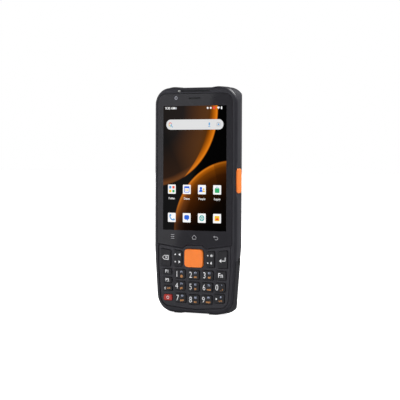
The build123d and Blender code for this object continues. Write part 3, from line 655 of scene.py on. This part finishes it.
def search_field():
    """Grey field with a loupe on the left, a voice mark and a photo mark on the right."""
    z = SEARCH_Z
    object_from("search_field", flat_mesh("search_field", [
        rounded(0, z, SEARCH_WIDTH, SEARCH_HEIGHT, SEARCH_HEIGHT / 2)], layer(2)), "handset",
        PIXEL_GREY, "display")
    top = layer(3)
    loupe_z = z + 0.2
    marks = []
    for start, end, colour in ((20, 160, PIXEL_RED), (160, 250, PIXEL_YELLOW),
                               (250, 310, PIXEL_GREEN), (310, 380, PIXEL_SKY)):
        ring = band(LOUPE_X, loupe_z, 1.15, 0.5, start, end)
        marks.append((flat_mesh("loupe", [ring], top), colour))
    handle = stroke([(LOUPE_X + 0.9, loupe_z - 0.9), (LOUPE_X + 1.9, loupe_z - 1.9)], 0.5)
    voice = [rounded(VOICE_X, z + 0.4, 1.1, 2.0, 0.5)]
    voice += stroke([(VOICE_X, z - 0.9), (VOICE_X, z - 1.5)], 0.35)
    voice += stroke([(VOICE_X - 0.7, z - 1.5), (VOICE_X + 0.7, z - 1.5)], 0.35)
    photo = [rounded(PHOTO_X, z, 3.0, 2.6, 0.6), rounded(PHOTO_X, z, 2.2, 1.8, 0.3)]
    marks += [
        (flat_mesh("loupe_handle", handle, top), PIXEL_SKY),
        (flat_mesh("voice", voice, top), PIXEL_SKY),
        (flat_mesh("photo", photo, top, holes=True), PIXEL_DIM),
        (flat_mesh("photo_eye", [circle(PHOTO_X, z, 0.6)], top), PIXEL_SKY),
    ]
    joined("search_marks", marks, "handset", "display")


def drawn(shapes, material, rise=1, holes=False):
    """One part of a tile's picture, rise layers in front of the tile."""
    return flat_mesh("picture", shapes, layer(TILE_LAYER + rise), holes), material


def folder_picture(x, z):
    corners = ((-1, 1, PIXEL_SKY), (1, 1, PIXEL_RED), (-1, -1, PIXEL_YELLOW), (1, -1, PIXEL_GREEN))
    return [drawn([rounded(x + side * 1.35, z + rise * 1.35, 1.9, 1.9, 0.4)], colour)
            for side, rise, colour in corners]


def calendar_picture(x, z):
    sheet = [rounded(x, z, 4.4, 4.4, 0.5), rounded(x, z - 0.45, 3.4, 2.6, 0.2)]
    days = [rounded(x - 0.7 + i * 1.4, z - 0.5, 0.9, 0.9, 0.1) for i in range(2)]
    return [drawn(sheet, PIXEL_BLUE, holes=True), drawn(days, PIXEL_YELLOW)]


def people_picture(x, z):
    near = [circle(x - 0.8, z + 0.9, 1.0), arc(x - 0.8, z - 1.7, 1.7, 0, 180)]
    far = [circle(x + 1.5, z + 0.3, 0.7), arc(x + 1.5, z - 1.7, 1.1, 0, 180)]
    return [drawn(near, PIXEL_BLUE), drawn(far, PIXEL_YELLOW, rise=2)]


def bag_picture(x, z):
    return [drawn([rounded(x, z - 0.5, 3.8, 3.2, 0.5)], PIXEL_GREEN),
            drawn([band(x, z + 1.0, 1.0, 0.4, 0, 180)], PIXEL_SKY)]


def telephone_picture(x, z):
    handset = [band(x + 1.3, z + 1.2, 2.9, 0.9, 165, 285), circle(x - 1.2, z + 1.6, 0.75),
               circle(x + 1.8, z - 1.4, 0.75)]
    return [drawn(handset, PIXEL_SKY)]


def balloon_picture(x, z):
    tail = [(x - 0.2, z - 1.0), (x + 0.9, z - 1.2), (x + 0.9, z - 2.3)]
    return [drawn([rounded(x, z + 0.3, 4.2, 3.2, 1.2), tail], PIXEL_BLUE)]


def globe_picture(x, z):
    lines = [rounded(x, z, 0.25, 3.6, 0.1), rounded(x, z, 3.6, 0.25, 0.1),
             band(x, z, 1.1, 0.22, 0, 359)]
    return [drawn([circle(x, z, 2.1)], PIXEL_TEAL), drawn(lines, PIXEL_WHITE, rise=2)]


def landscape_picture(x, z):
    hills = [(x - 1.5, z - 1.2), (x + 1.5, z - 1.2), (x + 0.5, z + 0.8), (x - 0.1, z - 0.1),
             (x - 0.5, z + 0.4)]
    return [drawn([rounded(x, z, 4.0, 3.6, 0.4)], PIXEL_YELLOW),
            drawn([hills], PIXEL_RED, rise=2)]


TILE_PICTURES = ((folder_picture, calendar_picture, people_picture, bag_picture),
                 (telephone_picture, balloon_picture, globe_picture, landscape_picture))
CAPTIONS = ("Folder", "Dates", "People", "Supply")


def app_tiles():
    """Two rows of four tiles with their pictures, and captions under the upper row."""
    tiles, pictures = [], []
    for z, row in zip(TILE_ROWS, TILE_PICTURES):
        for x, picture in zip(TILE_COLUMNS, row):
            tiles.append(rounded(x, z, TILE, TILE, 0.45))
            pictures += picture(x, z)
    caption_z = TILE_ROWS[0] - 6.5
    captions = [(text_mesh("caption", word, x, caption_z, 1.45, layer(2), weight=0.02),
                 PIXEL_WHITE) for word, x in zip(CAPTIONS, TILE_COLUMNS)]
    object_from("app_tiles", flat_mesh("app_tiles", tiles, layer(TILE_LAYER)), "handset",
                PIXEL_WHITE, "display")
    joined("app_pictures", pictures, "handset", "display")
    joined("app_captions", captions, "handset", "display")


status_bar()
search_field()
app_tiles()


# ---- prints on the glass ---------------------------------------------------------------------
SOFT_KEY_Z = LENS_LOW + 7.9
SOFT_KEY_X = 18.0            # distance of the outer touch keys from the middle
SOFT_KEY_LINE = 0.36
SENSOR_X = 15.0


def soft_keys():
    """Three printed touch keys: menu, home and back."""
    z = SOFT_KEY_Z
    menu = [rounded(-SOFT_KEY_X, z + rise, 2.8, 0.34, 0.15) for rise in (-1.3, 0, 1.3)]
    roof = [(-1.7, z - 0.1), (0, z + 1.4), (1.7, z - 0.1)]
    walls = [(-1.45, z + 0.1), (-1.45, z - 1.4), (1.45, z - 1.4), (1.45, z + 0.1)]
    home = stroke(roof, SOFT_KEY_LINE) + stroke(walls, SOFT_KEY_LINE)
    bend_x = SOFT_KEY_X + 0.4
    back = [band(bend_x, z - 0.35, 1.0, SOFT_KEY_LINE, -90, 90)]
    back += stroke([(bend_x, z + 0.65), (16.5, z + 0.65)], SOFT_KEY_LINE)
    back += stroke([(bend_x, z - 1.35), (17.2, z - 1.35)], SOFT_KEY_LINE)
    back += [[(16.8, z + 1.5), (16.8, z - 0.2), (15.7, z + 0.65)]]
    object_from("soft_key_print", flat_mesh("soft_key_print", menu + home + back, layer(1)),
                "handset", GREY_INK, "cover_glass")


def camera_eye():
    """Clear spot in the print in front of the small camera, and the sensor spot beside it."""
    x, z, _ = front_of("front_camera")
    joined("camera_eye", [
        (flat_mesh("iris", [circle(x, z, 1.7)], layer(1)), FINISHES["camera_glass"]),
        (flat_mesh("rim", [circle(x, z, 1.15), circle(x, z, 0.75)], layer(2), holes=True),
         RING_INK),
        (flat_mesh("pupil", [circle(x, z, 0.7)], layer(2)), FINISHES["display"]),
        (flat_mesh("sensor", [rounded(SENSOR_X, z, 3.4, 1.3, 0.6)], layer(1)),
         FINISHES["display"]),
    ], "handset", "camera_glass")


soft_keys()
camera_eye()


# ---- key legends -----------------------------------------------------------------------------
DIGIT_HEIGHT = 4.2
SMALL_HEIGHT = 1.35
WORD_HEIGHT = 2.2
FN_HEIGHT = 3.1
DIGITS = {
    "key_1": ("1", "F1", "@!"), "key_2": ("2", "F2", "abc"), "key_3": ("3", "F3", "def"),
    "key_4": ("4", "F4", "ghi"), "key_5": ("5", "F5", "jkl"), "key_6": ("6", "F6", "mno"),
    "key_7": ("7", "F7", "pqrs"), "key_8": ("8", "F8", "tuv"), "key_9": ("9", "F9", "wxyz"),
    "key_0": ("0", "*", "_ +"),
}


def key_face(name):
    """Centre of a key's printed face and the front height of its print."""
    x, z, front = front_of(name)
    return x, z, front - INK_THICK


def digit_legend(name, digit, function, letters):
    """White digit on the left, function and letters stacked on the right."""
    x, z, front = key_face(name)
    joined(name + "_legend", [
        (text_mesh("digit", digit, x - 2.5, z - 0.3, DIGIT_HEIGHT, front, weight=-0.04,
                   narrow=0.88), WHITE_INK),
        (text_mesh("function", function, x + 1.5, z + 1.4, SMALL_HEIGHT, front), BLUE_INK),
        (text_mesh("letters", letters, x + 1.4, z - 1.5, SMALL_HEIGHT, front, weight=0.05,
                   narrow=0.9), ORANGE_INK),
    ], name, "key_plastic")


def word_legend(name, word, height):
    x, z, front = key_face(name)
    mesh = text_mesh(name + "_legend", word, x, z, height, front, weight=0.03)
    object_from(name + "_legend", mesh, name, WHITE_INK, "key_plastic")


def backspace_legend():
    """Tag pointing left with a cross in it."""
    x, z, front = key_face("backspace_key")
    tag = [(x - 2.9, z), (x - 1.1, z + 1.6), (x + 2.6, z + 1.6), (x + 2.6, z - 1.6),
           (x - 1.1, z - 1.6)]
    inner = [(x - 2.3, z), (x - 0.9, z + 1.2), (x + 2.2, z + 1.2), (x + 2.2, z - 1.2),
             (x - 0.9, z - 1.2)]
    cross = stroke([(x - 0.1, z - 0.6), (x + 1.3, z + 0.6)], 0.35)
    cross += stroke([(x - 0.1, z + 0.6), (x + 1.3, z - 0.6)], 0.35)
    joined("backspace_legend", [
        (flat_mesh("tag", [tag, inner], front, holes=True), WHITE_INK),
        (flat_mesh("cross", cross, front), WHITE_INK)], "backspace_key", "key_plastic")


def enter_legend():
    """Arrow that comes down and turns left."""
    x, z, front = key_face("enter_key")
    arrow = stroke([(x + 2.4, z + 1.2), (x + 2.4, z - 1.0), (x - 1.0, z - 1.0)], 0.5)
    arrow += [[(x - 0.8, z + 0.3), (x - 0.8, z - 2.3), (x - 2.6, z - 1.0)]]
    object_from("enter_legend", flat_mesh("enter_legend", arrow, front), "enter_key", WHITE_INK,
                "key_plastic")


def left_rocker_mark(x, z, end):
    """Arrow head pointing left at the upper end and right at the lower end."""
    tip = x + 1.6 - end * 0.8
    return [[(tip, z), (tip + end * 1.5, z + 1.1), (tip + end * 1.5, z - 1.1)]]


def right_rocker_mark(x, z, end):
    """Loudspeaker, with a sound wave at the upper end."""
    horn = [(x + 0.3, z - 0.4), (x + 0.3, z + 0.4), (x + 1.3, z + 1.0), (x + 1.3, z - 1.0)]
    return [horn] + ([band(x + 1.3, z, 0.9, 0.25, -50, 50)] if end > 0 else [])


def rocker_legend(name, mark):
    """A dot and a mark at the lower and the upper end of a rocker key."""
    x, z, front = key_face(name)
    marks, dots = [], []
    for end in (-1, 1):
        row = z + end * 2.6
        dots.append(circle(x - 1.9, row, 0.5))
        marks += mark(x, row, end)
    joined(name + "_legend", [(flat_mesh("mark", marks, front), WHITE_INK),
                              (flat_mesh("dot", dots, front), WHITE_INK)], name, "key_plastic")


def power_legend():
    """Open ring with a bar in its gap."""
    x, z, front = key_face("power_key")
    sign = [band(x, z, 0.95, 0.32, 120, 420), rounded(x, z + 0.8, 0.34, 1.1, 0.15)]
    object_from("power_legend", flat_mesh("power_legend", sign, front), "power_key", WHITE_INK,
                "red_plastic")


def shift_legend():
    """Small arrow pointing up, and the word beside it."""
    x, z, front = key_face("shift_key")
    arrow = [[(x - 2.9, z), (x - 2.1, z + 0.9), (x - 1.3, z)]]
    arrow += stroke([(x - 2.1, z), (x - 2.1, z - 0.8)], 0.5)
    joined("shift_legend", [
        (flat_mesh("arrow", arrow, front), WHITE_INK),
        (text_mesh("word", "shift", x + 0.9, z, 1.3, front), ORANGE_INK),
    ], "shift_key", "key_plastic")


def dot_legend():
    """White dot, with a sign and letters stacked on the right."""
    x, z, front = key_face("dot_key")
    joined("dot_legend", [
        (flat_mesh("dot", [circle(x - 2.1, z - 0.2, 0.62)], front), WHITE_INK),
        (text_mesh("function", "#", x + 1.5, z + 1.2, SMALL_HEIGHT, front), BLUE_INK),
        (text_mesh("letters", "sym", x + 1.3, z - 1.4, SMALL_HEIGHT, front), ORANGE_INK),
    ], "dot_key", "key_plastic")


for key, (digit, function, letters) in DIGITS.items():
    digit_legend(key, digit, function, letters)
word_legend("p1_key", "P1", WORD_HEIGHT)
word_legend("p2_key", "P2", WORD_HEIGHT)
word_legend("fn_key", "Fn", FN_HEIGHT)
backspace_legend()
enter_legend()
rocker_legend("left_rocker", left_rocker_mark)
rocker_legend("right_rocker", right_rocker_mark)
power_legend()
shift_legend()
dot_legend()


# ---- stage, light and camera, in metres ------------------------------------------------------
AIM = (0.0, 0.0, 0.08)       # the middle of the handset, which every lamp faces
FLOOR_REACH = 8.0
CAMERA_PLACE = (0.63815, -1.00936, 0.11083)
CAMERA_TURN = (88.503, -0.233, 32.31)
CAMERA_LENS = 153.0
# Strengths of what the handset mirrors.
ROOM = 0.08
SOFT_BOX = 0.5
BACK_WALL = 0.32
STRIP = 1.2
CEILING = 14.0


def floor():
    """Plain white floor that glows faintly, so no horizon line shows behind the handset."""
    n = Nodes("floor_finish", Specular_IOR_Level=0.2, Emission_Strength=0.9)
    n.set(Emission_Color=(1.0, 1.0, 1.0, 1.0))
    mottle = n.noise(120.0, 4.0)
    n.join(n.blend(n.spread(mottle, 0.0, 1.0), (0.47, 0.47, 0.475, 1), (0.49, 0.49, 0.49, 1)),
           "Base Color")
    n.join(n.spread(mottle, 0.55, 0.65), "Roughness")
    corners = [(-FLOOR_REACH, -FLOOR_REACH, 0), (FLOOR_REACH, -FLOOR_REACH, 0),
               (FLOOR_REACH, FLOOR_REACH, 0), (-FLOOR_REACH, FLOOR_REACH, 0)]
    mesh = bpy.data.meshes.new("floor")
    mesh.from_pydata(corners, [], [(0, 1, 2, 3)])
    mesh.materials.append(n.material)
    made = bpy.data.objects.new("floor", mesh)
    bpy.context.scene.collection.objects.link(made)
    made.visible_glossy = False


def area_light(name, place, side, radiance):
    """Soft square light that faces the handset and leaves no reflection of itself."""
    light = bpy.data.lights.new(name, "AREA")
    light.shape = "RECTANGLE"
    light.size = side
    light.size_y = side
    light.energy = radiance * math.pi * side * side
    made = bpy.data.objects.new(name, light)
    made.location = place
    made.rotation_euler = (Vector(AIM) - Vector(place)).to_track_quat("-Z", "Y").to_euler()
    made.visible_glossy = False
    bpy.context.scene.collection.objects.link(made)


def soft_box_edge():
    """Normal of the plane through the mirrored camera and the edge of the left soft box."""
    eye = Vector(CAMERA_PLACE)
    eye.y = 2 * LENS_FRONT * MM - eye.y
    # the edge is mirrored along this line over the glass
    upper = Vector((15.7 * MM, LENS_FRONT * MM, 153.9 * MM)) - eye
    lower = Vector((-15.0 * MM, LENS_FRONT * MM, 48.5 * MM)) - eye
    return lower.cross(upper).normalized()


def world():
    """What the handset mirrors: dim room, soft box on the left, strips in front and above."""
    made = bpy.data.worlds.new("studio")
    w = Tree(made)
    way = w.add("ShaderNodeTexCoord").outputs["Generated"]
    level = w.add("ShaderNodeVectorMath", {0: way, 1: (1, 1, 0)}, operation="MULTIPLY").outputs[0]
    level = w.add("ShaderNodeVectorMath", {0: level}, operation="NORMALIZE").outputs[0]
    height = w.maths("ABSOLUTE", w.dot(way, (0, 0, 1)))
    walls = w.spread(height, 1.0, 0.12, 0.35, 0.75)

    def toward(vector, direction, angle, soft):
        """One inside a cone around a direction, fading to none over soft degrees."""
        return w.spread(w.dot(vector, Vector(direction).normalized()), 0.0, 1.0,
                        math.cos(math.radians(angle + soft)), math.cos(math.radians(angle)))

    box = w.spread(w.dot(way, soft_box_edge()), 0.0, SOFT_BOX, -0.001, 0.001)
    box = w.maths("MULTIPLY", box, toward(level, (-0.85, -0.52, 0), 42, 8))
    behind = w.maths("MULTIPLY", toward(level, (0.5, 0.85, 0), 30, 20), BACK_WALL)
    strip = w.maths("MULTIPLY", toward(level, (0.15, -0.99, 0), 4, 3), STRIP)
    total = w.maths("MULTIPLY", walls, ROOM)
    for share in (box, behind, strip):
        total = w.maths("ADD", total, w.maths("MULTIPLY", share, walls))
    above = w.maths("MULTIPLY", toward(way, (0.3, 0.3, 0.9), 16, 6), CEILING)
    total = w.maths("ADD", total, above)
    seen = w.add("ShaderNodeLightPath").outputs["Is Camera Ray"]
    strength = w.add("ShaderNodeMix", {0: seen, 2: total, 3: 1.0}, data_type="FLOAT").outputs[0]
    background = w.tree.nodes["Background"]
    w.tree.links.new(strength, background.inputs["Strength"])
    background.inputs["Color"].default_value = (1.0, 1.0, 1.0, 1.0)
    bpy.context.scene.world = made


def camera():
    """Long lens from the front right, just above mid height."""
    data = bpy.data.cameras.new("camera")
    data.lens = CAMERA_LENS
    data.sensor_width = 36.0
    data.clip_start = 0.05
    data.clip_end = 50.0
    made = bpy.data.objects.new("camera", data)
    made.location = CAMERA_PLACE
    made.rotation_euler = [math.radians(angle) for angle in CAMERA_TURN]
    bpy.context.scene.collection.objects.link(made)
    bpy.context.scene.camera = made


floor()
world()
camera()
area_light("front_light", (-0.5, -1.3, 0.7), 0.9, 4.6)
area_light("right_light", (1.4, 0.1, 0.0), 0.8, 1.6)
area_light("left_light", (-1.4, 0.2, 0.5), 0.8, 3.0)
area_light("back_light", (0.3, 1.4, 0.6), 0.9, 3.5)

bpy.context.scene.view_settings.view_transform = "Standard"
